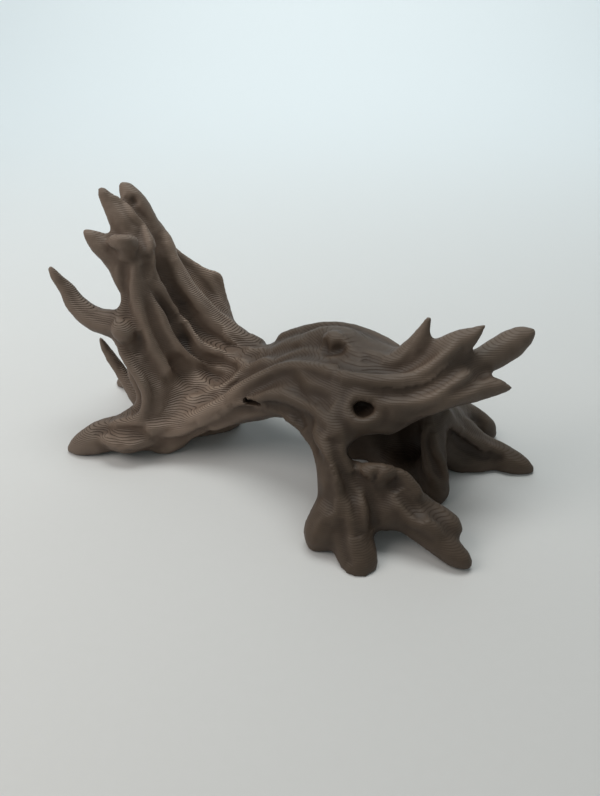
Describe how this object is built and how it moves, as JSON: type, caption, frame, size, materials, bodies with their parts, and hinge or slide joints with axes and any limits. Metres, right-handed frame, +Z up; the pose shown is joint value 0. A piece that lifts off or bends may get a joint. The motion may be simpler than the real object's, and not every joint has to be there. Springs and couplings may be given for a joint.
{
  "type": "dry root",
  "caption": "One-piece model of a gnarled dry driftwood root: a forked trunk sweeping into a humped log on splayed root feet, with an arch beneath.",
  "frame": {"origin": "centre of the bounding box, on the plane that the soles stand on", "axes": "+Z up, +X along the log from the forked trunk to the right-hand spikes, -Y towards the front leg and its toes"},
  "size_m": [0.06, 0.0394, 0.0309],
  "materials": {
    "dry_root": "satin brown, in fine stacked layers"
  },
  "bodies": {
    "root": {"dry_root": "dry_root"}
  },
  "joints": []
}
